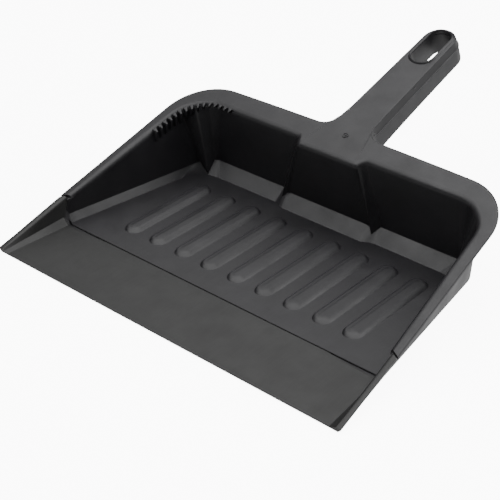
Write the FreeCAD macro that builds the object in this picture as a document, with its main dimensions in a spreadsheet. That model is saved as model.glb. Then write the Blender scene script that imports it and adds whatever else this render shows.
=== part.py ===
"""Household dust pan: a one-piece tray with a sloping rim and a long hollow handle,
and a thin ramped lip set into its mouth.

Frame: X to the right, Y from the lip towards the handle, Z up, millimetres.
The pan stands on Z = 0 and the origin is under the middle of its bounding box.
The outlines are laid out from the middle of the lip's front edge, and every sub-part's
Placement then moves them back by half of the overall length.
The rim and the top of the handle lie in one plane, the rim plane, which rises from the lip
to the handle. Lengths named "along" are measured in that plane.
"""
import FreeCAD, Part

import math
import os

import Sketcher
from FreeCAD import Placement, Rotation, Vector

doc = FreeCAD.newDocument("dust_pan")
sheet = doc.addObject("Spreadsheet::Sheet", "dims")

DIMENSIONS = {
    # whole pan
    "overall_length": 339.95,
    "rim_slope": 17.22,
    "front_height": 3.2,
    "wall": 2.5,
    "skin": 2.0,
    # rim flange, in the rim plane
    "rim_front_half": 158.2,
    "rim_back_half": 145.9,
    "rim_back_along": 215.6,
    "rim_corner_radius": 39.0,
    "flange_thickness": 2.4,
    "rim_bevel": 2.2,
    # inside of the tray at the rim, in the rim plane
    "mouth_front_half": 148.2,
    "mouth_back_half": 135.6,
    "mouth_back_along": 197.2,
    "mouth_corner_radius": 29.0,
    # inside of the tray at the floor
    "floor_front_half": 150.0,
    "floor_back_half": 127.9,
    "floor_back": 187.5,
    "floor_corner_radius": 28.0,
    "floor_chamfer": 5.0,
    "outline_front": 45.0,
    # step of the back wall behind the handle
    "step_top_half": 28.4,
    "step_floor_half": 44.0,
    "step_top_along": 190.0,
    "step_floor": 183.5,
    # joint between lip and tray
    "joint_floor": 57.0,
    "joint_top": 62.0,
    # raised floor bars
    "bar_count": 9,
    "bar_pitch": 25.5,
    "bar_half": 6.6,
    "bar_start": 78.0,
    "bar_end": 162.0,
    "bar_height": 2.0,
    # lip
    "lip_front_half": 155.5,
    "lip_back_half": 143.5,
    "lip_edge": 0.8,
    "lip_rise": 2.71,
    "lip_inner_front_half": 151.5,
    "lip_inner_back_half": 142.0,
    "rail_inner_front_half": 153.9,
    "rail_inner_back_half": 149.0,
    # handle, in its own frame: the rim plane is its XY plane
    "handle_start": 199.0,
    "root_radius": 11.5,
    "grip_root_half": 16.2,
    "grip_tip_half": 14.4,
    "tip_centre": 334.6,
    "handle_depth": 20.0,
    "foot_root_half": 18.6,
    "foot_tip_half": 15.5,
    "foot_tip_centre": 334.2,
    "slot_half": 9.6,
    "slot_start": 305.4,
    "slot_end": 346.2,
    "slot_end_radius": 9.5,
    "collar_wall": 2.2,
    "bead_width": 2.4,
    "bead_height": 1.1,
    "web_thickness": 2.0,
    "web_depth": 12.0,
    "web_count": 3,
    "web_first": 236.0,
    "web_pitch": 22.0,
    # comb in the back left corner
    "tooth_width": 3.2,
    "tooth_reach": 3.6,
    "tooth_depth": 2.0,
    "tooth_root": 0.1,
    "tooth_pitch": 5.3,
}

for row, (alias, value) in enumerate(DIMENSIONS.items(), start=1):
    sheet.set(f"A{row}", alias)
    sheet.set(f"B{row}", str(value))
    sheet.setAlias(f"B{row}", alias)
doc.recompute()


def dim(name):
    return float(sheet.get(name))


def bind(item, target, expression):
    item.setExpression(target, expression)


def plane_of(body, role):
    return next(item for item in body.Origin.OriginFeatures if item.Role == role)


def new_sketch(body, name, role="XY_Plane"):
    sketch = body.newObject("Sketcher::SketchObject", name)
    sketch.AttachmentSupport = [(plane_of(body, role), "")]
    sketch.MapMode = "FlatFace"
    return sketch


def raise_sketch(sketch, expression):
    """Lifts a sketch along its normal."""
    bind(sketch, "AttachmentOffset.Base.z", expression)


def tilt_to_rim(sketch):
    """Lays an XY sketch in the rim plane, with its origin over the front edge."""
    raise_sketch(sketch, "dims.front_height")
    bind(sketch, "AttachmentOffset.Rotation.Axis.x", "1")
    bind(sketch, "AttachmentOffset.Rotation.Axis.z", "0")
    bind(sketch, "AttachmentOffset.Rotation.Angle", "dims.rim_slope * 1 deg")


def line(sketch, start, end):
    return sketch.addGeometry(Part.LineSegment(Vector(*start, 0), Vector(*end, 0)), False)


def arc(sketch, centre, radius, start_angle, end_angle):
    circle = Part.Circle(Vector(*centre, 0), Vector(0, 0, 1), radius)
    return sketch.addGeometry(Part.ArcOfCircle(circle, start_angle, end_angle), False)


def size(sketch, kind, *where, expression, value):
    """Adds a dimensional constraint and binds it to the spreadsheet."""
    index = sketch.addConstraint(Sketcher.Constraint(kind, *where, value))
    bind(sketch, f"Constraints[{index}]", expression)


def link(sketch, kind, *where):
    sketch.addConstraint(Sketcher.Constraint(kind, *where))


ORIGIN = (-1, 1)
Y_AXIS = -2


def pan_outline(sketch, front, back, front_half, back_half, radius):
    """A mirror-symmetric pan outline: straight front, tapering sides, round back corners.

    Each size is a pair of its number and its spreadsheet expression. back_half is the half
    width that the straight sides would reach at the back line.
    """
    y0, y1 = front[0], back[0]
    x0, x1, r = front_half[0], back_half[0], radius[0]
    lean = math.atan2(x0 - x1, y1 - y0)
    turn = math.pi / 2 - lean
    reach = r * math.tan(turn / 2)
    cx = x1 - reach
    cy = y1 - r
    side_end = (x1 + reach * math.sin(lean), y1 - reach * math.cos(lean))
    front_line = line(sketch, (-x0, y0), (x0, y0))
    right = line(sketch, (x0, y0), side_end)
    right_arc = arc(sketch, (cx, cy), r, lean, math.pi / 2)
    back_line = line(sketch, (cx, y1), (-cx, y1))
    left_arc = arc(sketch, (-cx, cy), r, math.pi / 2, math.pi - lean)
    left = line(sketch, (-side_end[0], side_end[1]), (-x0, y0))
    corner = sketch.addGeometry(Part.Point(Vector(x1, y1, 0)), True)
    link(sketch, "Coincident", front_line, 2, right, 1)
    link(sketch, "Tangent", right, 2, right_arc, 1)
    link(sketch, "Tangent", right_arc, 2, back_line, 1)
    link(sketch, "Tangent", back_line, 2, left_arc, 1)
    link(sketch, "Tangent", left_arc, 2, left, 1)
    link(sketch, "Coincident", left, 2, front_line, 1)
    link(sketch, "Symmetric", front_line, 1, front_line, 2, Y_AXIS)
    link(sketch, "Symmetric", back_line, 1, back_line, 2, Y_AXIS)
    link(sketch, "PointOnObject", corner, 1, right)
    link(sketch, "PointOnObject", corner, 1, back_line)
    link(sketch, "Equal", right_arc, left_arc)
    size(sketch, "DistanceY", *ORIGIN, front_line, 2, expression=front[1], value=y0)
    size(sketch, "DistanceY", *ORIGIN, back_line, 1, expression=back[1], value=y1)
    size(sketch, "DistanceX", *ORIGIN, front_line, 2, expression=front_half[1], value=x0)
    size(sketch, "DistanceX", *ORIGIN, corner, 1, expression=back_half[1], value=x1)
    size(sketch, "Radius", right_arc, expression=radius[1], value=r)


def trapezoid(sketch, front, back, front_half, back_half):
    """A mirror-symmetric four-sided outline, sizes as in pan_outline."""
    y0, y1, x0, x1 = front[0], back[0], front_half[0], back_half[0]
    a = line(sketch, (-x0, y0), (x0, y0))
    b = line(sketch, (x0, y0), (x1, y1))
    c = line(sketch, (x1, y1), (-x1, y1))
    d = line(sketch, (-x1, y1), (-x0, y0))
    for first, second in ((a, b), (b, c), (c, d), (d, a)):
        link(sketch, "Coincident", first, 2, second, 1)
    link(sketch, "Symmetric", a, 1, a, 2, Y_AXIS)
    link(sketch, "Symmetric", c, 1, c, 2, Y_AXIS)
    size(sketch, "DistanceY", *ORIGIN, a, 2, expression=front[1], value=y0)
    size(sketch, "DistanceY", *ORIGIN, c, 1, expression=back[1], value=y1)
    size(sketch, "DistanceX", *ORIGIN, a, 2, expression=front_half[1], value=x0)
    size(sketch, "DistanceX", *ORIGIN, c, 1, expression=back_half[1], value=x1)


def sized(expression):
    """A pair of number and expression, from an expression of dims names and plain numbers."""
    total = 0.0
    sign = 1
    for word in expression.replace("dims.", "").split():
        if word in "+-":
            sign = 1 if word == "+" else -1
        else:
            total += sign * (dim(word) if word in DIMENSIONS else float(word))
    return total, expression


def pan_outline_from(sketch, front, back, front_half, back_half, radius):
    sizes = [sized(text) for text in (front, back, front_half, back_half, radius)]
    pan_outline(sketch, *sizes)


def trapezoid_from(sketch, front, back, front_half, back_half):
    sizes = [sized(text) for text in (front, back, front_half, back_half)]
    trapezoid(sketch, *sizes)


def loft(body, kind, name, first, *others):
    feature = body.newObject(f"PartDesign::{kind}", name)
    feature.Profile = first
    feature.Sections = list(others)
    feature.Ruled = True
    body.Tip = feature
    return feature


def pad(body, name, sketch, length, downwards=False):
    feature = body.newObject("PartDesign::Pad", name)
    feature.Profile = sketch
    bind(feature, "Length", length)
    feature.Reversed = downwards
    body.Tip = feature
    return feature


def pocket_through(body, name, sketch):
    """Cuts a sketch right through the body, both ways from its plane."""
    feature = body.newObject("PartDesign::Pocket", name)
    feature.Profile = sketch
    feature.Type = "ThroughAll"
    feature.Midplane = True
    body.Tip = feature
    return feature


def place(body):
    """Moves a body from the lip's front edge to the pan's own origin."""
    bind(body, "Placement.Base.y", "-dims.overall_length / 2")


def polygon(sketch, points):
    """A closed outline fixed by a pair of bound distances at each corner."""
    values = [(sized(across), sized(up)) for across, up in points]
    corners = [(across[0], up[0]) for across, up in values]
    edges = [line(sketch, corners[i], corners[(i + 1) % len(corners)]) for i in range(len(corners))]
    for i, edge in enumerate(edges):
        link(sketch, "Coincident", edge, 2, edges[(i + 1) % len(edges)], 1)
    for edge, (across, up) in zip(edges, values):
        size(sketch, "DistanceX", *ORIGIN, edge, 1, expression=across[1], value=across[0])
        size(sketch, "DistanceY", *ORIGIN, edge, 1, expression=up[1], value=up[0])


def require_change(feature, before, grows):
    """Stops if a feature added or removed nothing."""
    doc.recompute()
    change = feature.Shape.Volume - before
    if (change > 0) != grows or abs(change) < 1:
        raise RuntimeError(f"{feature.Name} changed the volume by {change:.1f} mm3")
    return feature.Shape.Volume


def build_tray():
    body = doc.addObject("PartDesign::Body", "pan_tray")
    volume = require_change(tub_loft(body, "AdditiveLoft", "outer", " + dims.skin", "0"), 0, True)

    rim = new_sketch(body, "rim_outline")
    tilt_to_rim(rim)
    pan_outline_from(
        rim, "dims.outline_front", "dims.rim_back_along", "dims.rim_front_half",
        "dims.rim_back_half", "dims.rim_corner_radius")
    flange = pad(body, "rim_flange", rim, "dims.flange_thickness", downwards=True)
    volume = require_change(flange, volume, True)
    root = new_sketch(body, "root_plate_outline")
    tilt_to_rim(root)
    root_plate_outline(root)
    root_plate = pad(body, "root_plate", root, "dims.flange_thickness", downwards=True)
    volume = require_change(root_plate, volume, True)

    cavity = tub_loft(body, "SubtractiveLoft", "inner", "", "dims.wall")
    volume = require_change(cavity, volume, False)

    step_foot = new_sketch(body, "step_foot")
    raise_sketch(step_foot, "dims.wall")
    trapezoid_from(
        step_foot, "dims.step_floor - dims.floor_chamfer", "dims.floor_back - 3",
        "dims.step_floor_half", "dims.step_floor_half + 1")
    step_knee = new_sketch(body, "step_knee")
    raise_sketch(step_knee, "dims.wall + dims.floor_chamfer")
    trapezoid_from(
        step_knee, "dims.step_floor", "dims.floor_back + 1", "dims.step_floor_half - 3",
        "dims.step_floor_half - 1")
    step_head = new_sketch(body, "step_head")
    tilt_to_rim(step_head)
    trapezoid_from(
        step_head, "dims.step_top_along", "dims.mouth_back_along + 1", "dims.step_top_half",
        "dims.step_top_half + 2")
    step = loft(body, "AdditiveLoft", "back_wall_step", step_foot, step_knee, step_head)
    volume = require_change(step, volume, True)

    bar = new_sketch(body, "floor_bar")
    raise_sketch(bar, "dims.wall")
    bar_outline(bar)
    first_bar = pad(body, "first_bar", bar, "dims.bar_height")
    volume = require_change(first_bar, volume, True)
    bars = body.newObject("PartDesign::LinearPattern", "floor_bars")
    bars.Originals = [first_bar]
    bars.Direction = (bar, ["H_Axis"])
    bind(bars, "Length", "dims.bar_pitch * (dims.bar_count - 1)")
    bind(bars, "Occurrences", "dims.bar_count")
    body.Tip = bars
    volume = require_change(bars, volume, True)

    joint = new_sketch(body, "lip_joint", "YZ_Plane")
    polygon(joint, [
        ("0", "-5"), ("dims.joint_floor", "-5"), ("dims.joint_floor", "0"),
        ("dims.joint_top", "22.4"), ("dims.joint_top", "40"), ("0", "40")])
    front_cut = pocket_through(body, "front_cut", joint)
    require_change(front_cut, volume, False)
    place(body)
    return body


def tub_loft(body, kind, name, outwards, height):
    """The tray's skin from floor to rim: a foot, a knee where its chamfer ends, and a mouth."""
    foot = new_sketch(body, f"{name}_foot")
    raise_sketch(foot, height)
    knee = new_sketch(body, f"{name}_knee")
    raise_sketch(knee, f"{height} + dims.floor_chamfer")
    for sketch, inwards in ((foot, " - dims.floor_chamfer"), (knee, "")):
        pan_outline_from(
            sketch, "dims.outline_front", f"dims.floor_back{outwards}{inwards}",
            f"dims.floor_front_half{outwards}{inwards}",
            f"dims.floor_back_half{outwards}{inwards}",
            f"dims.floor_corner_radius{outwards}{inwards}")
    mouth = new_sketch(body, f"{name}_mouth")
    tilt_to_rim(mouth)
    pan_outline_from(
        mouth, "dims.outline_front", f"dims.mouth_back_along{outwards}",
        f"dims.mouth_front_half{outwards}", f"dims.mouth_back_half{outwards}",
        f"dims.mouth_corner_radius{outwards}")
    return loft(body, kind, f"{name}_skin", foot, knee, mouth)


def bar_outline(sketch):
    """The leftmost floor bar: two straight sides and two round ends."""
    centre = -dim("bar_pitch") * (dim("bar_count") - 1) / 2
    half = dim("bar_half")
    start, end = dim("bar_start") + half, dim("bar_end") - half
    right = line(sketch, (centre + half, start), (centre + half, end))
    far = arc(sketch, (centre, end), half, 0, math.pi)
    left = line(sketch, (centre - half, end), (centre - half, start))
    near = arc(sketch, (centre, start), half, math.pi, 2 * math.pi)
    for first, second in ((right, far), (far, left), (left, near), (near, right)):
        link(sketch, "Tangent", first, 2, second, 1)
    link(sketch, "Vertical", right)
    link(sketch, "Equal", far, near)
    size(sketch, "DistanceX", far, 3, *ORIGIN,
         expression="dims.bar_pitch * (dims.bar_count - 1) / 2", value=-centre)
    size(sketch, "DistanceY", *ORIGIN, near, 3, expression="dims.bar_start + dims.bar_half",
         value=start)
    size(sketch, "DistanceY", *ORIGIN, far, 3, expression="dims.bar_end - dims.bar_half", value=end)
    size(sketch, "Radius", far, expression="dims.bar_half", value=half)


def build_lip():
    body = doc.addObject("PartDesign::Body", "front_lip")
    base = new_sketch(body, "lip_base")
    trapezoid_from(base, "0", "dims.joint_top", "dims.lip_front_half", "dims.lip_back_half")
    crown = new_sketch(body, "lip_crown")
    tilt_to_rim(crown)
    trapezoid_from(crown, "0", "dims.joint_top + 5", "dims.rim_front_half",
                   "dims.rim_front_half - 3.8")
    block = loft(body, "AdditiveLoft", "lip_block", base, crown)
    volume = require_change(block, 0, True)

    ramp = new_sketch(body, "lip_ramp")
    raise_sketch(ramp, "dims.lip_edge")
    bind(ramp, "AttachmentOffset.Rotation.Axis.x", "1")
    bind(ramp, "AttachmentOffset.Rotation.Axis.z", "0")
    bind(ramp, "AttachmentOffset.Rotation.Angle", "dims.lip_rise * 1 deg")
    trapezoid_from(ramp, "-5", "dims.joint_top + 10", "dims.lip_inner_front_half",
                   "dims.lip_inner_back_half")
    opening = new_sketch(body, "lip_opening")
    tilt_to_rim(opening)
    raise_sketch(opening, "dims.front_height + 0.01")
    trapezoid_from(opening, "-5", "dims.joint_top + 10", "dims.rail_inner_front_half",
                   "dims.rail_inner_back_half")
    hollow = loft(body, "SubtractiveLoft", "lip_hollow", ramp, opening)
    volume = require_change(hollow, volume, False)

    joint = new_sketch(body, "tray_joint", "YZ_Plane")
    polygon(joint, [
        ("dims.joint_floor", "-5"), ("dims.joint_floor", "0"), ("dims.joint_top", "22.4"),
        ("dims.joint_top", "40"), ("dims.joint_top + 30", "40"), ("dims.joint_top + 30", "-5")])
    back_cut = pocket_through(body, "back_cut", joint)
    require_change(back_cut, volume, False)
    place(body)
    return body


def handle_outline(sketch, root_half, tip_half, tip_centre):
    """Handle outline: a straight start under the rim, tapering sides and a round tip."""
    (xr, root_text), (xt, tip_text), (yt, centre_text) = map(sized, (root_half, tip_half, tip_centre))
    y0 = dim("handle_start")
    back = line(sketch, (-xr, y0), (xr, y0))
    right = line(sketch, (xr, y0), (xt, yt))
    tip = arc(sketch, (0, yt), xt, 0, math.pi)
    left = line(sketch, (-xt, yt), (-xr, y0))
    for first, second in ((back, right), (right, tip), (tip, left), (left, back)):
        link(sketch, "Coincident", first, 2, second, 1)
    link(sketch, "Symmetric", back, 1, back, 2, Y_AXIS)
    link(sketch, "Symmetric", tip, 1, tip, 2, Y_AXIS)
    size(sketch, "DistanceY", *ORIGIN, back, 1, expression="dims.handle_start", value=y0)
    size(sketch, "DistanceX", *ORIGIN, back, 2, expression=root_text, value=xr)
    size(sketch, "DistanceX", *ORIGIN, tip, 1, expression=tip_text, value=xt)
    size(sketch, "DistanceY", *ORIGIN, tip, 1, expression=centre_text, value=yt)
    size(sketch, "DistanceY", *ORIGIN, tip, 3, expression=centre_text, value=yt)


def root_plate_outline(sketch):
    """The rim's plate at the handle's root: two straight ends and two quarter arcs."""
    x, r = dim("grip_root_half"), dim("root_radius")
    y0 = dim("rim_back_along")
    y1 = y0 + r
    near = line(sketch, (-x - r, y0), (x + r, y0))
    right = arc(sketch, (x + r, y1), r, math.pi, 1.5 * math.pi)
    far = line(sketch, (x, y1), (-x, y1))
    left = arc(sketch, (-x - r, y1), r, 1.5 * math.pi, 2 * math.pi)
    link(sketch, "Coincident", near, 2, right, 2)
    link(sketch, "Coincident", right, 1, far, 1)
    link(sketch, "Coincident", far, 2, left, 2)
    link(sketch, "Coincident", left, 1, near, 1)
    link(sketch, "Symmetric", near, 1, near, 2, Y_AXIS)
    link(sketch, "Symmetric", far, 1, far, 2, Y_AXIS)
    link(sketch, "Equal", right, left)
    size(sketch, "DistanceX", *ORIGIN, near, 2, expression="dims.grip_root_half + dims.root_radius",
         value=x + r)
    size(sketch, "DistanceY", *ORIGIN, near, 2, expression="dims.rim_back_along", value=y0)
    size(sketch, "DistanceX", *ORIGIN, far, 1, expression="dims.grip_root_half", value=x)
    size(sketch, "DistanceY", *ORIGIN, far, 1, expression="dims.rim_back_along + dims.root_radius",
         value=y1)
    size(sketch, "Radius", right, expression="dims.root_radius", value=r)


def slot_outline(sketch, grow):
    """The hang slot, or a line a given distance outside it."""
    grown = dim(grow[5:]) if grow != "0" else 0.0
    r = dim("slot_half") + grown
    near, far = dim("slot_start") + dim("slot_half"), dim("slot_end") - dim("slot_half")
    right = line(sketch, (r, near), (r, far))
    top = arc(sketch, (0, far), r, 0, math.pi)
    left = line(sketch, (-r, far), (-r, near))
    bottom = arc(sketch, (0, near), r, math.pi, 2 * math.pi)
    for first, second in ((right, top), (top, left), (left, bottom), (bottom, right)):
        link(sketch, "Tangent", first, 2, second, 1)
    link(sketch, "PointOnObject", top, 3, Y_AXIS)
    link(sketch, "PointOnObject", bottom, 3, Y_AXIS)
    size(sketch, "Radius", top, expression=f"dims.slot_half + {grow}", value=r)
    size(sketch, "DistanceY", *ORIGIN, bottom, 3, expression="dims.slot_start + dims.slot_half",
         value=near)
    size(sketch, "DistanceY", *ORIGIN, top, 3, expression="dims.slot_end - dims.slot_half", value=far)


def build_handle(tray):
    body = doc.addObject("PartDesign::Body", "handle_blank")
    upper = new_sketch(body, "handle_top")
    handle_outline(upper, "dims.grip_root_half", "dims.grip_tip_half", "dims.tip_centre")
    lower = new_sketch(body, "handle_foot")
    raise_sketch(lower, "-dims.handle_depth")
    handle_outline(lower, "dims.foot_root_half", "dims.foot_tip_half", "dims.foot_tip_centre")
    volume = require_change(loft(body, "AdditiveLoft", "grip", upper, lower), 0, True)

    channel = new_sketch(body, "handle_channel")
    raise_sketch(channel, "-dims.handle_depth")
    trapezoid_from(channel, "dims.handle_start - 5", "dims.tip_centre + 6",
                   "dims.grip_root_half - dims.wall", "dims.grip_tip_half - dims.wall")
    hollow = body.newObject("PartDesign::Pocket", "channel")
    hollow.Profile = channel
    hollow.Reversed = True
    bind(hollow, "Length", "dims.handle_depth - dims.wall")
    body.Tip = hollow
    volume = require_change(hollow, volume, False)

    webs = new_sketch(body, "cross_web")
    raise_sketch(webs, "-dims.wall")
    trapezoid_from(webs, "dims.web_first", "dims.web_first + dims.web_thickness",
                   "dims.grip_tip_half", "dims.grip_tip_half")
    web = pad(body, "first_web", webs, "dims.web_depth", downwards=True)
    volume = require_change(web, volume, True)
    pattern = body.newObject("PartDesign::LinearPattern", "cross_webs")
    pattern.Originals = [web]
    pattern.Direction = (webs, ["V_Axis"])
    bind(pattern, "Length", "dims.web_pitch * (dims.web_count - 1)")
    bind(pattern, "Occurrences", "dims.web_count")
    body.Tip = pattern
    volume = require_change(pattern, volume, True)

    collar = new_sketch(body, "slot_collar")
    slot_outline(collar, "dims.collar_wall")
    raise_sketch(collar, "-1")
    collar_pad = pad(body, "collar", collar, "dims.handle_depth - 1", downwards=True)
    volume = require_change(collar_pad, volume, True)
    bead = new_sketch(body, "slot_bead")
    slot_outline(bead, "dims.bead_width")
    bead_pad = pad(body, "bead", bead, "dims.bead_height")
    volume = require_change(bead_pad, volume, True)
    slot = new_sketch(body, "hang_slot")
    slot_outline(slot, "0")
    require_change(pocket_through(body, "slot", slot), volume, False)

    tilt = Rotation(Vector(1, 0, 0), dim("rim_slope"))
    base = Vector(0, -dim("overall_length") / 2, dim("front_height"))
    body.Placement = Placement(base, tilt)
    handle = doc.addObject("Part::Cut", "handle")
    handle.Base = body
    handle.Tool = tray
    return handle


def comb_stations():
    """Where the comb's teeth stand in the rim plane: point on the mouth and inward direction."""
    lean = math.atan2(dim("mouth_front_half") - dim("mouth_back_half"),
                      dim("mouth_back_along") - dim("outline_front"))
    r = dim("mouth_corner_radius")
    turn = math.pi / 2 - lean
    reach = r * math.tan(turn / 2)
    corner_x = dim("mouth_back_half") - reach
    centre = Vector(-corner_x, dim("mouth_back_along") - r, 0)
    arc_length = r * turn
    pitch = dim("tooth_pitch")
    stations = []
    for number in range(5):
        along_back = centre + Vector(pitch * (4.5 - number), r, 0)
        stations.append((along_back, 270.0))
    arc_count = int(arc_length / pitch)
    for number in range(arc_count):
        angle = math.pi / 2 + turn * (number + 0.5) / arc_count
        point = centre + Vector(r * math.cos(angle), r * math.sin(angle), 0)
        stations.append((point, math.degrees(angle) + 180))
    side = Vector(-math.sin(lean), -math.cos(lean), 0)
    start = centre + Vector(-r * math.cos(lean), r * math.sin(lean), 0)
    for number in range(4):
        stations.append((start + side * pitch * (number + 0.5), -math.degrees(lean)))
    return stations


def build_comb(tray):
    """Short teeth under the rim around one corner, each rooted in the wall."""
    tilt = Rotation(Vector(1, 0, 0), dim("rim_slope"))
    base = Vector(0, -dim("overall_length") / 2, dim("front_height"))
    rim = Placement(base, tilt)
    teeth = []
    for number, (point, heading) in enumerate(comb_stations(), start=1):
        tooth = doc.addObject("Part::Box", f"comb_tooth_{number}")
        bind(tooth, "Length", "dims.tooth_reach + dims.tooth_root")
        bind(tooth, "Width", "dims.tooth_width")
        bind(tooth, "Height", "dims.tooth_depth")
        turn = Rotation(Vector(0, 0, 1), heading)
        corner = turn.multVec(Vector(-dim("tooth_root"), -dim("tooth_width") / 2, 0))
        depth = Vector(0, 0, -dim("flange_thickness") - dim("tooth_depth"))
        tooth.Placement = rim.multiply(Placement(point + corner + depth, turn))
        teeth.append(tooth)
    blank = doc.addObject("Part::MultiFuse", "comb_blank")
    blank.Shapes = teeth
    comb = doc.addObject("Part::Cut", "corner_comb")
    comb.Base = blank
    comb.Tool = tray
    return comb


tray_body = build_tray()
sub_parts = [tray_body, build_lip(), build_handle(tray_body), build_comb(tray_body)]
doc.recompute()

for item in doc.Objects:
    if "Invalid" in item.State or "Error" in item.State:
        raise RuntimeError(f"{item.Name} failed to compute: {item.State}")

os.makedirs("parts", exist_ok=True)
for item in sub_parts:
    if item.Shape.isNull() or not item.Shape.isValid():
        raise RuntimeError(f"{item.Label} has no valid shape")
    item.Shape.exportStep(f"parts/{item.Label}.step")
    box = item.Shape.BoundBox
    print(f"{item.Label}: {len(item.Shape.Solids)} solids, {item.Shape.Volume / 1000:.1f} cm3,"
          f" X {box.XMin:.1f} {box.XMax:.1f} Y {box.YMin:.1f} {box.YMax:.1f}"
          f" Z {box.ZMin:.1f} {box.ZMax:.1f}")
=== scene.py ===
"""The dust pan's looks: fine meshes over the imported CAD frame, black moulded plastic, studio light.

The rim and the top of the handle lie in the rim plane. The handle is drawn in that plane's own
frame: x, the length along the slope, and the height above the plane.
"""
import math

import bmesh
import bpy
from mathutils import Matrix, Vector
from mathutils.geometry import tessellate_polygon


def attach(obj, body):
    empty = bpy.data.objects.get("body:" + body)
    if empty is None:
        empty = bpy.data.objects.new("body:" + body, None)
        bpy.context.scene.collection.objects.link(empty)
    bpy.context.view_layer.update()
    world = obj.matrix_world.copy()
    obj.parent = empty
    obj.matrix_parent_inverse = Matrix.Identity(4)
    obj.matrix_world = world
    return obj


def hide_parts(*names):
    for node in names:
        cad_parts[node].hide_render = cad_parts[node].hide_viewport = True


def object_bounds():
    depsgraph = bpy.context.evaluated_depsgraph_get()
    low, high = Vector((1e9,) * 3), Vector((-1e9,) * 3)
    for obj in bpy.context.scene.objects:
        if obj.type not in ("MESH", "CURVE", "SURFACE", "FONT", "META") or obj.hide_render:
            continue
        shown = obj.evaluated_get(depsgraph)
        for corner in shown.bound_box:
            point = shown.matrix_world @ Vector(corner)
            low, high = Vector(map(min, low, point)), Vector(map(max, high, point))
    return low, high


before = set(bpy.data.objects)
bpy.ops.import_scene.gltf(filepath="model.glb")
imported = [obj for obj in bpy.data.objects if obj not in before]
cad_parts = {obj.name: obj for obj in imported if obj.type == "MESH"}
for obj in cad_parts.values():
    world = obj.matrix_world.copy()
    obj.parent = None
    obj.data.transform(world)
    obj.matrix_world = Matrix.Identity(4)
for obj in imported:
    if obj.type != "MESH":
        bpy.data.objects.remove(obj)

cad_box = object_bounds()
FRONT_EDGE = cad_box[0][1] * 1000

# ---------------------------------------------------------------- driving sizes
RIM_TILT = math.radians(17.22)
FRONT_HEIGHT = 3.2
FLANGE = 2.4
EDGE_ROUND = 0.9
FLOOR_TOP = 2.5
SIDE_CHAMFER = 5.5
BACK_CHAMFER = 9.0
JOINT_FLOOR = 57.15
HANDLE_DEPTH = 20.0
HANDLE_SEAM = 228.5
GRIP_ROOT_HALF = 16.2
GRIP_TIP_HALF = 14.4
FOOT_ROOT_HALF = 19.0
FOOT_SIDE_HALF = 17.2
FOOT_TIP_HALF = 15.5
TIP_CENTRE = 334.4
SLOT_HALF = 9.0
SLOT_START = 305.0
SLOT_END = 344.6
WEB_START = 236.0
WEB_PITCH = 22.0
WEB_HALF = 15.0
WEB_THICKNESS = 2.0


def rim_height(y):
    """The height of the rim plane at y."""
    return FRONT_HEIGHT + y * math.tan(RIM_TILT)


def on_slope(x, along, above=0.0):
    """A point of the rim plane's own frame, in the pan's frame."""
    y = along * math.cos(RIM_TILT) - above * math.sin(RIM_TILT)
    z = FRONT_HEIGHT + along * math.sin(RIM_TILT) + above * math.cos(RIM_TILT)
    return Vector((x, y, z))


def mix(a, b, t):
    return a + (b - a) * t


def smooth(t):
    """Eases from 0 to 1, and holds those values outside."""
    t = min(1.0, max(0.0, t))
    return t * t * (3 - 2 * t)


# ---------------------------------------------------------------- mesh helpers
class Shell:
    """Collects vertices and faces in millimetres and turns them into one object."""

    def __init__(self, name):
        self.name = name
        self.mesh = bmesh.new()

    def row(self, points):
        return [self.mesh.verts.new(p) for p in points]

    def face(self, verts):
        """Adds a face. One that has collapsed or is there already is left out."""
        distinct = list(dict.fromkeys(verts))
        if len(distinct) > 2 and not self.mesh.faces.get(distinct):
            self.mesh.faces.new(distinct)

    def bridge(self, first, second, closed=False):
        """Joins two rows of the same length with quads."""
        count = len(first)
        for i in range(count if closed else count - 1):
            j = (i + 1) % count
            self.face([first[i], first[j], second[j], second[i]])

    def rings(self, rings, closed=True):
        """Adds rows of points, each joined to the next, and gives the rows back."""
        rows = [self.row(points) for points in rings]
        for first, second in zip(rows, rows[1:]):
            self.bridge(first, second, closed)
        return rows

    def fill(self, outer, *holes):
        """Fills a flat loop that may have holes in it."""
        loops = [outer, *holes]
        verts = [v for loop in loops for v in loop]
        for a, b, c in tessellate_polygon([[v.co for v in loop] for loop in loops]):
            self.face([verts[a], verts[b], verts[c]])

    def finish(self, material, replaces=()):
        bmesh.ops.remove_doubles(self.mesh, verts=self.mesh.verts, dist=0.004)
        bmesh.ops.dissolve_degenerate(self.mesh, edges=self.mesh.edges, dist=0.002)
        bmesh.ops.recalc_face_normals(self.mesh, faces=self.mesh.faces)
        for vert in self.mesh.verts:
            vert.co = (vert.co + Vector((0, FRONT_EDGE, 0))) / 1000
        data = bpy.data.meshes.new(self.name)
        self.mesh.to_mesh(data)
        self.mesh.free()
        data.shade_smooth()
        data.set_sharp_from_angle(angle=math.radians(38))
        piece = bpy.data.objects.new(self.name, data)
        bpy.context.collection.objects.link(piece)
        data.materials.append(material)
        weighted = piece.modifiers.new("flat_faces_stay_flat", "WEIGHTED_NORMAL")
        weighted.weight = 80
        weighted.keep_sharp = True
        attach(piece, "root")
        if replaces:
            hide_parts(*replaces)
        return piece


def rounded(points, radii, steps=5):
    """An open polyline with a radius for each inner corner.

    The number of points it gives is the same for any shape.
    """
    result = [points[0]]
    for before, here, after, radius in zip(points, points[1:], points[2:], radii):
        back, ahead = before - here, after - here
        angle = back.angle(ahead, math.pi)
        reach = radius / max(0.05, math.tan(angle / 2))
        reach = min(reach, 0.46 * back.length, 0.46 * ahead.length)
        start = here + back.normalized() * reach
        end = here + ahead.normalized() * reach
        for step in range(steps + 1):
            t = step / steps
            result.append(start * (1 - t) ** 2 + here * 2 * t * (1 - t) + end * t * t)
    result.append(points[-1])
    return result


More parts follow.
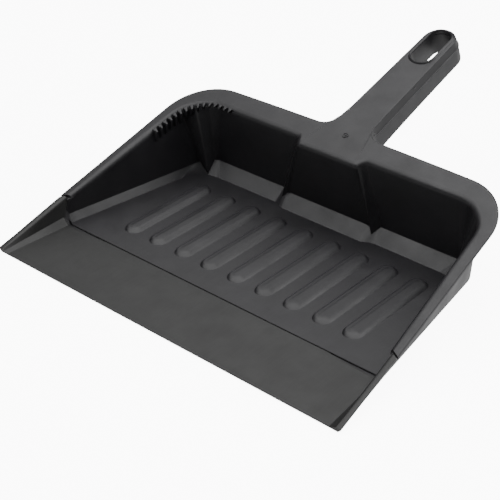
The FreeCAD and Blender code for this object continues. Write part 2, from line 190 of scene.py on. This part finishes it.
# ---------------------------------------------------------------- plan outlines
SIDE_STEPS = 22
CORNER_STEPS = 26
BACK_STEPS = 12
JOG_STEPS = 12
MID_STEPS = 6


class Outline:
    """Half of a plan outline, on the -x side: side, corner, back, jog and middle.

    start is the y where the side begins, half its distance from the middle at y = 0, and taper
    how fast it comes inwards. back and radius place the corner. The jog steps from jog_outer
    forward to jog_inner, where the outline's y becomes middle. bow curves the back outwards.
    """

    def __init__(self, start, half, taper, back, radius, jog_outer, jog_inner, middle, bow=0.0):
        self.start, self.half, self.taper = start, half, taper
        self.back, self.radius, self.bow = back, radius, bow
        self.jog_outer, self.jog_inner, self.middle = jog_outer, jog_inner, middle
        self.lean = math.atan(taper)
        self.cy = back - radius
        self.cx = radius / math.cos(self.lean) - (half - taper * self.cy)

    def side(self, t):
        tangent = self.cy + self.radius * math.sin(self.lean)
        y = mix(self.start, tangent, t)
        return Vector((-(self.half - self.taper * y), y))

    def corner(self, t):
        angle = mix(math.pi - self.lean, math.pi / 2, t)
        return Vector((self.cx + self.radius * math.cos(angle),
                       self.cy + self.radius * math.sin(angle)))

    def along_back(self, t):
        x = mix(self.cx, -self.jog_outer - 3.0, t)
        return Vector((x, self.back + self.bow * (1 - (x / self.cx) ** 2)))

    def jog(self, t):
        a, b = Vector((-self.jog_outer, self.back)), Vector((-self.jog_inner, self.middle))
        soft = 0.42
        if t <= 0.5:
            s = t * 2
            first, last = a + Vector((-2.2, 0)), a.lerp(b, soft)
            return first * (1 - s) ** 2 + a * 2 * s * (1 - s) + last * s * s
        s = t * 2 - 1
        first, last = b.lerp(a, soft), b + Vector((2.2, 0))
        return first * (1 - s) ** 2 + b * 2 * s * (1 - s) + last * s * s

    def centre(self, t):
        return Vector((mix(-self.jog_inner + 2.2, 0.0, t), self.middle))

    def walk(self):
        """All the stations of the half outline, from the joint to the middle of the back."""
        path = [self.side(i / SIDE_STEPS) for i in range(SIDE_STEPS)]
        path += [self.corner(i / CORNER_STEPS) for i in range(CORNER_STEPS)]
        path += [self.along_back(i / BACK_STEPS) for i in range(BACK_STEPS)]
        path += [self.jog(i / JOG_STEPS) for i in range(JOG_STEPS)]
        path += [self.centre(i / MID_STEPS) for i in range(MID_STEPS + 1)]
        return path


CORNER_AT = SIDE_STEPS
BACK_AT = CORNER_AT + CORNER_STEPS
JOG_AT = BACK_AT + BACK_STEPS
MID_AT = JOG_AT + JOG_STEPS
LAST = MID_AT + MID_STEPS

RIM_OUTER = Outline(59.6, 158.2, 0.0596, 205.8, 39.9, 31.0, 27.0, 205.8, bow=1.5)
MOUTH = Outline(63.8, 152.2, 0.088, 188.2, 28.5, 30.1, 26.8, 181.2)
MOUTH_OUT = Outline(60.6, 153.7, 0.088, 189.8, 30.0, 33.0, 27.0, 189.8)
KNEE = Outline(60.4, 156.6, 0.155, 189.6, 17.0, 46.0, 38.5, 185.9)
KNEE_OUT = Outline(58.2, 157.5, 0.155, 190.6, 17.0, 46.0, 38.5, 190.6)
FOOT = Outline(59.4, 152.0, 0.155, 179.6, 24.0, 45.0, 38.6, 175.6)
FOOT_OUT = Outline(JOINT_FLOOR, 151.3, 0.155, 180.6, 24.0, 44.0, 42.0, 180.6)

# where the two chamfers of the tray meet in its back corner: the ends of the V and its point
V_LEFT = Vector((-128.0, 182.4, FLOOR_TOP + SIDE_CHAMFER))
V_POINT = Vector((-115.2, 178.2, FLOOR_TOP + 0.3))
V_RIGHT = Vector((-116.5, 187.6, FLOOR_TOP + BACK_CHAMFER))
V_BEND = Vector((-126.4, 167.5, FLOOR_TOP))
V_REACH = 0.22
# the same where the back wall steps forward behind the handle
STEP_LEFT = Vector((-46.0, 189.6, FLOOR_TOP + BACK_CHAMFER))
STEP_POINT = Vector((-42.6, 182.6, FLOOR_TOP + 4.6))
STEP_RIGHT = Vector((-38.5, 185.9, FLOOR_TOP + BACK_CHAMFER))


def root_edge():
    """The rim's back edge where it runs into the handle: a flare, then the seam's half line."""
    along = 207.3 / math.cos(RIM_TILT)
    radius = HANDLE_SEAM - along
    centre = Vector((-GRIP_ROOT_HALF - radius, along + radius))
    path = []
    for i in range(JOG_STEPS):
        turn = mix(-math.pi / 2, 0.0, i / (JOG_STEPS - 1))
        path.append(centre + radius * Vector((math.cos(turn), math.sin(turn))))
    path += [Vector((mix(-GRIP_ROOT_HALF, 0.0, i / MID_STEPS), HANDLE_SEAM))
             for i in range(MID_STEPS + 1)]
    return path


def inward_normals(path):
    """Unit vectors in plan that point into the tray at each station."""
    normals = []
    for i in range(len(path)):
        a, b = path[max(0, i - 1)], path[min(len(path) - 1, i + 1)]
        along = (b - a).normalized()
        normals.append(Vector((along.y, -along.x)))
    normals[-1] = Vector((0, -1))
    return normals


def down_and_up(start, low, end, t):
    """A point on the V from start down to low and up to end."""
    if t < 0.5:
        return start.lerp(low, t * 2)
    return low.lerp(end, t * 2 - 1)


def knee_line():
    """The top edge of the floor chamfer, with a V in the corner and one at the step."""
    plan = KNEE.walk()
    line = []
    for i, point in enumerate(plan):
        height = SIDE_CHAMFER if i < CORNER_AT else BACK_CHAMFER
        place = Vector((*point, FLOOR_TOP + height))
        if CORNER_AT <= i < BACK_AT:
            t = (i - CORNER_AT) / CORNER_STEPS
            if t < V_REACH:
                side_end = Vector((*plan[CORNER_AT], V_LEFT.z))
                place = side_end.lerp(V_LEFT, t / V_REACH)
            elif t > 1 - V_REACH:
                back_end = Vector((*plan[BACK_AT], V_RIGHT.z))
                place = V_RIGHT.lerp(back_end, (t - 1 + V_REACH) / V_REACH)
            else:
                place = down_and_up(V_LEFT, V_POINT, V_RIGHT, (t - V_REACH) / (1 - 2 * V_REACH))
        elif JOG_AT <= i < MID_AT:
            place = down_and_up(STEP_LEFT, STEP_POINT, STEP_RIGHT, (i - JOG_AT) / JOG_STEPS)
        line.append(place)
    return line


def foot_line():
    """The line where the floor chamfer meets the floor. It waits at the point of each V."""
    plan = FOOT.walk()
    line = []
    for i, point in enumerate(plan):
        place = Vector((*point, FLOOR_TOP))
        if CORNER_AT <= i < BACK_AT:
            t = (i - CORNER_AT) / CORNER_STEPS
            # a slow drift keeps the stations at the point from falling on one another
            drift = Vector((0.5 * (t - 0.5), 0.1 * (t - 0.5) - 0.25, 0))
            waiting = Vector((V_POINT.x, V_POINT.y, FLOOR_TOP)) + drift
            if t < V_REACH:
                side_end = Vector((*plan[CORNER_AT], FLOOR_TOP))
                s = t / V_REACH
                place = side_end * (1 - s) ** 2 + V_BEND * 2 * s * (1 - s) + waiting * s * s
            elif t > 1 - V_REACH:
                back_end = Vector((*plan[BACK_AT], FLOOR_TOP))
                place = waiting.lerp(back_end, (t - 1 + V_REACH) / V_REACH)
            else:
                place = waiting
        line.append(place)
    return line


def tray_sections():
    """One rounded cross-section for each station of the left half, from underside to floor."""
    rim = RIM_OUTER.walk()
    mouth = MOUTH.walk()
    mouth_out = MOUTH_OUT.walk()
    knee = knee_line()
    foot = foot_line()
    knee_out = KNEE_OUT.walk()
    foot_out = FOOT_OUT.walk()
    root = root_edge()
    sections = []
    for i in range(LAST + 1):
        edge, depth, edge_round = rim[i], FLANGE, EDGE_ROUND
        edge_top = Vector((*edge, rim_height(edge.y)))
        edge_low = edge_top - Vector((0, -math.sin(RIM_TILT), math.cos(RIM_TILT))) * FLANGE
        if i >= JOG_AT:
            x, along = root[i - JOG_AT]
            t = smooth((i - JOG_AT) / (JOG_STEPS - 1))
            depth = mix(FLANGE, HANDLE_DEPTH, t)
            spread = mix(0.0, FOOT_ROOT_HALF / GRIP_ROOT_HALF - 1, t)
            edge_top = on_slope(x, along)
            edge_low = on_slope(x * (1 + spread), along, -depth)
            edge_round = EDGE_ROUND if i <= MID_AT else 0.01
        wall_top = Vector((*mouth_out[i], rim_height(mouth_out[i].y) - FLANGE))
        if i >= JOG_AT:
            wall_top.z -= (depth - FLANGE) * 0.9
        turn = smooth((i - CORNER_AT) / CORNER_STEPS)
        chamfer = mix(SIDE_CHAMFER, BACK_CHAMFER, turn)
        points = [
            Vector((*foot_out[i], 0.0)),
            Vector((*knee_out[i], chamfer + 1.4)),
            wall_top,
            edge_low,
            edge_top,
            Vector((*mouth[i], rim_height(mouth[i].y))),
            knee[i],
            foot[i],
        ]
        radii = [1.5, 0.5, 0.4, edge_round, 5.0, 0.9]
        sections.append(rounded(points, radii))
    return sections


def mirrored(points):
    return [Vector((-p.x, p.y, p.z)) for p in points]


def build_tray(material):
    """The tray with its rim, the plate at the handle's root and the ledge under the lip."""
    shell = Shell("tray")
    left = tray_sections()
    whole = left + [mirrored(section) for section in reversed(left[:-1])]
    rows = shell.rings(whole, closed=False)
    floor_loop = [row[-1] for row in rows]
    under_loop = [row[0] for row in rows]
    lip_line = shell.row([Vector((141.0, JOINT_FLOOR + 0.3, FLOOR_TOP)),
                          Vector((-141.0, JOINT_FLOOR + 0.3, FLOOR_TOP))])
    nose = shell.row([Vector((141.0, JOINT_FLOOR, FLOOR_TOP - 0.3)),
                      Vector((-141.0, JOINT_FLOOR, FLOOR_TOP - 0.3))])
    shell.fill(floor_loop + lip_line)
    shell.fill(under_loop)
    shell.face([lip_line[0], lip_line[1], nose[1], nose[0]])
    shell.face([nose[0], nose[1], under_loop[0], under_loop[-1]])
    shell.fill(rows[0] + [lip_line[1], nose[1]])
    shell.fill(rows[-1] + [lip_line[0], nose[0]])
    build_tongue(shell)
    return shell.finish(material, ["pan_tray"])


def build_tongue(shell):
    """A thin ledge that reaches from the tray into the lip, all along the joint."""
    profile = [
        Vector((-142.0, 0.0, 0.4)),
        Vector((-143.4, 0.0, 0.5)),
        Vector((-148.1, 0.0, 6.9)),
        Vector((-152.2, 0.0, 17.4)),
        Vector((-150.8, 0.0, 17.8)),
        Vector((-147.7, 0.0, 7.4)),
        Vector((-143.2, 0.0, 1.3)),
        Vector((-142.0, 0.0, 1.3)),
    ]
    rings = []
    for y in (53.5, 61.5):
        narrower = 0.12 * (y - 57.0)
        side = [Vector((p.x + narrower, y, p.z + (y - 57.0) * 0.31 * p.z / 20)) for p in profile]
        rings.append(side + mirrored(reversed(side)))
    rows = shell.rings(rings)
    shell.fill(rows[0])
    shell.fill(rows[1])


# ---------------------------------------------------------------- floor bars
BAR_PITCH = 25.5
BAR_START = 78.0
BAR_END = 162.0
BAR_HALF = 2.4
BAR_HEIGHT = 2.3
BAR_RINGS = 9


def slot_ring(half, start, end, steps=14, squareness=0.0):
    """A long round-ended loop about x = 0, as pairs of x and y."""
    ring = []
    for centre, first in ((end - half, 0.0), (start + half, math.pi)):
        for i in range(steps + 1):
            turn = first + math.pi * i / steps
            swell = 1 + squareness * abs(math.sin(2 * turn)) * 0.4
            ring.append((half * math.cos(turn) * swell, centre + half * math.sin(turn) * swell))
    return ring


def build_bars(material):
    """Low ridges with a steep left and back flank and a soft right and front one."""
    shell = Shell("floor_bars")
    crest = slot_ring(BAR_HALF, BAR_START + 3.4, BAR_END - 3.4)
    directions = slot_ring(1.0, 0.0, 2.0)
    for number in range(-4, 5):
        middle = number * BAR_PITCH
        rings = []
        for step in range(BAR_RINGS + 1):
            rise = step / BAR_RINGS
            ring = []
            for (x, y), (across, along) in zip(crest, directions):
                facing = 0.5 + 0.5 * (0.85 * across - 0.53 * (along - 1.0))
                width = mix(4.0, 6.0, facing)
                steepness = mix(5.5, 1.7, facing)
                height = BAR_HEIGHT * (1 - (1 - rise) ** steepness)
                spread = width * (1 - rise)
                ring.append(Vector((middle + x + spread * across, y + spread * (along - 1.0),
                                    FLOOR_TOP + height - 0.06)))
            rings.append(ring)
        rows = shell.rings(rings)
        ridge = [Vector((middle - 0.9 + x * 0.3, y, FLOOR_TOP + BAR_HEIGHT + 0.15))
                 for x, y in slot_ring(BAR_HALF, BAR_START + 5.0, BAR_END - 5.0)]
        top = shell.row(ridge)
        shell.bridge(rows[-1], top, closed=True)
        shell.fill(top)
        shell.fill(rows[0])
    return shell.finish(material)


# ---------------------------------------------------------------- lip
def build_lip(material):
    """The ramped lip: the same section from front to back, each point on a straight line."""
    front = [
        Vector((-155.3, 0.5, 0.0)),
        Vector((-156.0, 0.4, 1.0)),
        Vector((-158.0, 0.3, 3.2)),
        Vector((-153.4, 0.2, 3.2)),
        Vector((-151.6, 0.2, 2.4)),
        Vector((-148.4, 0.1, 1.0)),
    ]
    back = [
        Vector((-142.6, 56.8, 0.0)),
        Vector((-148.4, 56.8, 6.6)),
        Vector((-154.7, 58.4, 21.3)),
        Vector((-149.4, 62.4, 22.5)),
        Vector((-147.2, 54.6, 7.6)),
        Vector((-143.4, 54.6, 1.9)),
    ]
    radii = [1.2, 1.2, 2.2, 0.8, 0.6]
    shell = Shell("front_lip")
    rings = []
    for t in (0.0, 0.012, 0.25, 0.5, 0.75, 0.985, 1.0):
        half = [a.lerp(b, t) for a, b in zip(front, back)]
        ramp_end = Vector((-100.0, mix(0.0, 56.9, t), mix(0.8, 1.9, t)))
        half = rounded(half + [ramp_end], radii)
        under = [Vector((0.0, half[0].y, 0.0)), Vector((-100.0, half[0].y, 0.0))]
        middle = [Vector((0.0, ramp_end.y, ramp_end.z))]
        loop = under + half + middle
        loop += mirrored(reversed(half)) + [Vector((100.0, half[0].y, 0.0))]
        if t in (0.0, 1.0):
            loop = [Vector((p.x * 0.9985, p.y, mix(p.z, ramp_end.z / 2, 0.12))) for p in loop]
        rings.append(loop)
    rows = shell.rings(rings)
    shell.fill(rows[0])
    shell.fill(rows[-1])
    return shell.finish(material, ["front_lip"])


# ---------------------------------------------------------------- handle
TIP_STEPS = 28
SIDE_RINGS = 16


def handle_ring(drop, inset):
    """The handle's outline at a depth below the rim plane, moved inwards by inset.

    Below the plate it starts further forward, inside the tray's own flare. Near the root most
    of the inset fades out, so that the edge meets the plate's.
    """
    t = drop / HANDLE_DEPTH
    start = mix(HANDLE_SEAM, 214.0, smooth((drop - 0.4) / 3))
    tip = mix(GRIP_TIP_HALF, FOOT_TIP_HALF, t) - inset
    ring = []
    for i in range(SIDE_RINGS):
        s = i / SIDE_RINGS
        flare = (FOOT_ROOT_HALF - FOOT_SIDE_HALF) * t * (1 - s) ** 3
        straight = mix(mix(GRIP_ROOT_HALF, FOOT_SIDE_HALF, t) - inset, tip, s)
        straight += max(0.0, inset - 0.3) * (1 - smooth(s * 7))
        ring.append(Vector((straight + flare, mix(start, TIP_CENTRE, s), -drop)))
    for i in range(TIP_STEPS + 1):
        turn = math.pi * i / TIP_STEPS
        ring.append(Vector((tip * math.cos(turn), TIP_CENTRE + tip * math.sin(turn), -drop)))
    ring += [Vector((-p.x, p.y, p.z)) for p in reversed(ring[:SIDE_RINGS])]
    return ring


def sloped(points):
    """Moves points from the rim plane's own frame into the pan's."""
    return [on_slope(p.x, p.y, p.z) for p in points]


# depth below the top and inset of each ring: the outside with its ridge, then the inside
OUTSIDE = ((0.0, 2.1), (0.12, 1.4), (0.45, 1.0), (1.0, 0.8), (6.4, 0.15), (6.7, -0.1),
           (7.0, -0.4), (7.4, -0.5), (7.8, -0.35), (8.1, 0.0), (13.0, 0.0), (19.4, 0.0),
           (19.8, 0.15), (20.0, 0.5))
INSIDE = ((20.0, 2.0), (19.7, 2.4), (14.0, 2.6), (4.0, 3.2), (2.9, 3.8), (2.5, 4.8))


# how far each ring round the hang slot stands out from it, and its height: bead, hole, collar
COLLAR = ((2.3, 0.0), (2.05, 0.3), (1.7, 0.85), (1.15, 1.2), (0.6, 1.1), (0.15, 0.6),
          (0.0, -0.2), (0.0, -19.5), (0.3, -20.0), (1.8, -20.0), (2.2, -19.6), (2.4, -2.9),
          (2.9, -2.5))


def build_handle(material):
    """The hollow handle, open underneath, with its slot's collar and three cross webs."""
    shell = Shell("handle")
    outer = shell.rings([sloped(handle_ring(*size)) for size in OUTSIDE + INSIDE])
    slots = []
    for grow, height in COLLAR:
        ring = slot_ring(SLOT_HALF + grow, SLOT_START - grow, SLOT_END + grow, squareness=0.06)
        slots.append([on_slope(x, along, height) for x, along in ring])
    slot_rows = shell.rings(slots)
    shell.fill(outer[0], slot_rows[0])
    shell.fill(outer[-1], slot_rows[-1])
    for number in range(3):
        near = WEB_START + WEB_PITCH * number
        far = near + WEB_THICKNESS
        corners = ((-WEB_HALF, near), (WEB_HALF, near), (WEB_HALF, far), (-WEB_HALF, far))
        rows = shell.rings([[on_slope(x, along, height) for x, along in corners]
                            for height in (-2.0, -14.0)])
        shell.fill(rows[0])
        shell.fill(rows[1])
    return shell.finish(material, ["handle"])


# ---------------------------------------------------------------- comb
COMB_PITCH = 5.0
COMB_BEFORE_CORNER = 17.0
COMB_PAST_CORNER = 13.0
COMB_LEAN = 0.13


def comb_stations():
    """Points on the mouth of the tray with the inward direction, round the back left corner."""
    path = MOUTH.walk()[:JOG_AT]
    normals = inward_normals(path)
    lengths = [0.0]
    for a, b in zip(path, path[1:]):
        lengths.append(lengths[-1] + (b - a).length)
    corner = lengths[CORNER_AT]
    found = []
    position, last = corner - COMB_BEFORE_CORNER, lengths[BACK_AT] + COMB_PAST_CORNER
    while position < last:
        i = max(k for k, length in enumerate(lengths) if length <= position)
        t = (position - lengths[i]) / (lengths[i + 1] - lengths[i])
        inward = normals[i].lerp(normals[i + 1], t).normalized()
        found.append((path[i].lerp(path[i + 1], t), inward))
        position += COMB_PITCH
    return found


def build_comb(material):
    """Rounded teeth under the rim's inner edge: long fins at the side, short spikes behind."""
    shell = Shell("comb")
    for point, inward in comb_stations():
        along = Vector((-inward.y, inward.x))
        on_side = smooth(abs(inward.x) * 1.3 - 0.3)
        fin = mix(3.6, 11.0, on_side)
        lean = COMB_LEAN * on_side
        # depth below the rim, reach into the tray and half width of each ring
        profile = (
            (-0.12, 0.3, 1.75),
            (-0.1, 1.9, 1.7),
            (0.35, 2.9, 1.6),
            (1.1, mix(3.5, 4.4, on_side), mix(1.3, 1.5, on_side)),
            (fin * 0.45, mix(2.8, 3.8, on_side), mix(0.9, 1.25, on_side)),
            (fin * 0.8, mix(1.6, 2.4, on_side), mix(0.6, 0.9, on_side)),
            (fin, 0.3, 0.35),
        )
        rings = []
        for drop, reach, half in profile:
            ring = []
            for i in range(13):
                turn = math.pi * i / 12
                inwards = reach * math.sin(turn) - 0.5 + lean * drop
                sideways = half * math.cos(turn)
                x = point.x + inward.x * inwards + along.x * sideways
                y = point.y + inward.y * inwards + along.y * sideways
                ring.append(Vector((x, y, rim_height(y) - drop)))
            rings.append(ring)
        rows = shell.rings(rings)
        shell.fill(rows[0])
        shell.fill(rows[-1])
    return shell.finish(material, ["corner_comb"])


# ---------------------------------------------------------------- small marks
def build_marks(material):
    """The gate mark on the rim behind the tray, and an oval bump at the handle's root."""
    shell = Shell("mould_marks")
    gate = Vector((1.4, 202.8 / math.cos(RIM_TILT)))
    rings = []
    for radius, height in ((2.4, -0.05), (2.2, 0.55), (1.8, 0.6), (1.5, 0.08), (0.9, 0.05),
                           (0.7, 0.5), (0.3, 0.55)):
        ring = []
        for i in range(20):
            turn = 2 * math.pi * i / 20
            ripple = 1 + 0.08 * math.sin(3 * turn + 1.0)
            ring.append(on_slope(gate.x + radius * ripple * math.cos(turn),
                                 gate.y + radius * ripple * math.sin(turn), height))
        rings.append(ring)
    rows = shell.rings(rings)
    shell.fill(rows[0])
    shell.fill(rows[-1])

    bump_at = 224.5
    rings = []
    for size, out in ((1.0, -0.3), (0.92, 0.3), (0.7, 0.7), (0.35, 0.95), (0.1, 1.0)):
        ring = []
        for i in range(16):
            turn = 2 * math.pi * i / 16
            ring.append(on_slope(GRIP_ROOT_HALF + 0.5 + out,
                                 bump_at + 4.2 * size * math.cos(turn),
                                 -4.6 + 1.9 * size * math.sin(turn)))
        rings.append(ring)
    rows = shell.rings(rings)
    shell.fill(rows[0])
    shell.fill(rows[-1])
    return shell.finish(material)


# ---------------------------------------------------------------- materials
def plastic(name, colour, roughness, grain):
    """Moulded plastic: cloudy colour, uneven and scuffed gloss, fine grain and slow waves."""
    material = bpy.data.materials.new(name)
    material.use_nodes = True
    nodes, links = material.node_tree.nodes, material.node_tree.links
    shader = nodes["Principled BSDF"]
    shader.inputs["IOR"].default_value = 1.5
    shader.inputs["Specular IOR Level"].default_value = 0.42
    place = nodes.new("ShaderNodeTexCoord")

    def noise_at(scale, detail, source=place.outputs["Object"]):
        node = nodes.new("ShaderNodeTexNoise")
        node.inputs["Scale"].default_value = scale
        node.inputs["Detail"].default_value = detail
        links.new(source, node.inputs["Vector"])
        return node

    cloud = noise_at(22.0, 4.0)
    ramp = nodes.new("ShaderNodeValToRGB")
    ramp.color_ramp.elements[0].position = 0.3
    ramp.color_ramp.elements[1].position = 0.72
    ramp.color_ramp.elements[0].color = (*[c * 0.82 for c in colour], 1)
    ramp.color_ramp.elements[1].color = (*[c * 1.2 for c in colour], 1)
    links.new(cloud.outputs["Fac"], ramp.inputs["Fac"])
    links.new(ramp.outputs["Color"], shader.inputs["Base Color"])

    wear = noise_at(60.0, 6.0)
    stretch = nodes.new("ShaderNodeMapping")
    stretch.inputs["Scale"].default_value = (900.0, 45.0, 900.0)
    links.new(place.outputs["Object"], stretch.inputs["Vector"])
    scuffs = noise_at(1.0, 3.0, stretch.outputs["Vector"])
    blend = nodes.new("ShaderNodeMix")
    blend.inputs["Factor"].default_value = 0.25
    links.new(wear.outputs["Fac"], blend.inputs["A"])
    links.new(scuffs.outputs["Fac"], blend.inputs["B"])
    spread = nodes.new("ShaderNodeMapRange")
    spread.inputs["From Min"].default_value = 0.3
    spread.inputs["From Max"].default_value = 0.7
    spread.inputs["To Min"].default_value = roughness - 0.06
    spread.inputs["To Max"].default_value = roughness + 0.09
    links.new(blend.outputs["Result"], spread.inputs["Value"])
    links.new(spread.outputs["Result"], shader.inputs["Roughness"])

    fine = noise_at(1400.0, 2.0)
    slow = noise_at(45.0, 2.0)
    bump_fine = nodes.new("ShaderNodeBump")
    bump_fine.inputs["Strength"].default_value = grain
    bump_fine.inputs["Distance"].default_value = 0.0001
    links.new(fine.outputs["Fac"], bump_fine.inputs["Height"])
    bump_slow = nodes.new("ShaderNodeBump")
    bump_slow.inputs["Strength"].default_value = 0.25
    bump_slow.inputs["Distance"].default_value = 0.0006
    links.new(slow.outputs["Fac"], bump_slow.inputs["Height"])
    links.new(bump_fine.outputs["Normal"], bump_slow.inputs["Normal"])
    links.new(bump_slow.outputs["Normal"], shader.inputs["Normal"])
    return material


# ---------------------------------------------------------------- studio
FLOOR_REACH = 6.0
# name, place, aim (in metres), width, height and watts of each soft light
LIGHTS = (
    ("back_left", (-1.1, 1.2, 1.0), (0, 0, 0.03), 1.3, 1.0, 4),
    ("back_right", (1.0, 1.15, 1.05), (0, 0, 0.03), 1.0, 1.0, 20),
    ("front_left", (-1.0, -0.95, 1.15), (0, 0, 0.03), 0.9, 0.9, 5),
    ("overhead", (0.0, 0.0, 1.5), (0, 0.05, 0), 2.3, 2.3, 58),
    ("bounce", (0, 0, -0.02), (0, 0, 1), 3.0, 3.0, 40),
)


def softbox(name, position, aim, width, height, watts):
    light = bpy.data.lights.new(name, "AREA")
    light.shape = "RECTANGLE"
    light.size, light.size_y, light.energy = width, height, watts
    lamp = bpy.data.objects.new(name, light)
    lamp.location = position
    direction = Vector(aim) - Vector(position)
    lamp.rotation_euler = direction.to_track_quat("-Z", "Y").to_euler()
    bpy.context.collection.objects.link(lamp)


def studio():
    """A pale plain floor, a faint even sky and the soft lights."""
    scene = bpy.context.scene
    world = bpy.data.worlds.new("studio")
    world.use_nodes = True
    world.node_tree.nodes["Background"].inputs["Color"].default_value = (1, 1, 1, 1)
    world.node_tree.nodes["Background"].inputs["Strength"].default_value = 0.08
    scene.world = world

    floor_mesh = bpy.data.meshes.new("floor")
    corners = [(x * FLOOR_REACH, y * FLOOR_REACH, 0)
               for x, y in ((-1, -1), (1, -1), (1, 1), (-1, 1))]
    floor_mesh.from_pydata(corners, [], [(0, 1, 2, 3)])
    floor = bpy.data.objects.new("floor", floor_mesh)
    floor.location.z = -0.0002
    bpy.context.collection.objects.link(floor)
    pale = bpy.data.materials.new("pale_floor")
    pale.use_nodes = True
    shader = pale.node_tree.nodes["Principled BSDF"]
    shader.inputs["Base Color"].default_value = (0.9, 0.9, 0.9, 1)
    shader.inputs["Roughness"].default_value = 0.8
    shader.inputs["Emission Color"].default_value = (1, 1, 1, 1)
    shader.inputs["Emission Strength"].default_value = 9.0
    floor_mesh.materials.append(pale)
    # the pan sees the softer "bounce" light below instead of the bright floor itself
    floor.visible_diffuse = False
    floor.visible_glossy = False
    floor.visible_shadow = False

    for light in LIGHTS:
        softbox(*light)


AZIMUTH = math.radians(41.923)
ELEVATION = math.radians(32.394)
ROLL = math.radians(-1.0)
DISTANCE = 0.947973
TARGET = Vector((-0.018437, (118.433 + FRONT_EDGE) / 1000, 0.0))
FOCAL_LENGTH = 94.18


def camera():
    """The camera looks at TARGET from the front right and above, turned a little by ROLL."""
    back = Vector((math.sin(AZIMUTH) * math.cos(ELEVATION),
                   -math.cos(AZIMUTH) * math.cos(ELEVATION),
                   math.sin(ELEVATION)))
    level = (-back).cross(Vector((0, 0, 1))).normalized()
    upright = level.cross(-back)
    right = level * math.cos(ROLL) + upright * math.sin(ROLL)
    up = upright * math.cos(ROLL) - level * math.sin(ROLL)
    data = bpy.data.cameras.new("camera")
    data.lens = FOCAL_LENGTH
    data.sensor_width = 36.0
    data.clip_start, data.clip_end = 0.01, 50.0
    view = bpy.data.objects.new("camera", data)
    matrix = Matrix((right, up, back)).transposed().to_4x4()
    matrix.translation = TARGET + back * DISTANCE
    view.matrix_world = matrix
    bpy.context.collection.objects.link(view)
    bpy.context.scene.camera = view


# ---------------------------------------------------------------- the whole scene
black = plastic("black_plastic", (0.0080, 0.0076, 0.0090), 0.44, 0.35)
lip_black = plastic("lip_plastic", (0.008, 0.008, 0.0078), 0.48, 0.3)
build_tray(black)
build_bars(black)
build_lip(lip_black)
build_handle(black)
build_comb(black)
build_marks(black)
studio()
camera()
